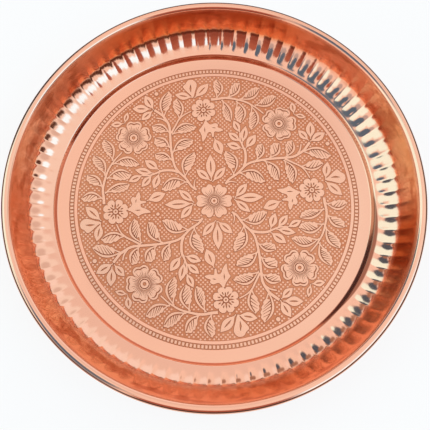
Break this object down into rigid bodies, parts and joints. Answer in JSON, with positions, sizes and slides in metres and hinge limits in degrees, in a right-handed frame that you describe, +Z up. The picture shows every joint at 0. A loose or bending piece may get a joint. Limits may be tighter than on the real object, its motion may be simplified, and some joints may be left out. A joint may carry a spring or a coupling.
{
  "type": "pooja plate",
  "caption": "Round copper ritual plate with a flat floor engraved with flowers and leaves, a low step, a fluted flaring wall and an edge rolled over a wire, for carrying offerings.",
  "frame": {"origin": "middle of the flat underside that the plate stands on", "axes": "+Z up along the plate's axis, out of the open side; +Y towards the top of the engraved pattern as pictured, +X to its right"},
  "size_m": [0.22, 0.22, 0.0252],
  "materials": {
    "copper_sheet": null,
    "wire": "drawn steel wire"
  },
  "bodies": {
    "root": {"dish": "copper_sheet", "rim_wire": "wire"}
  },
  "joints": []
}
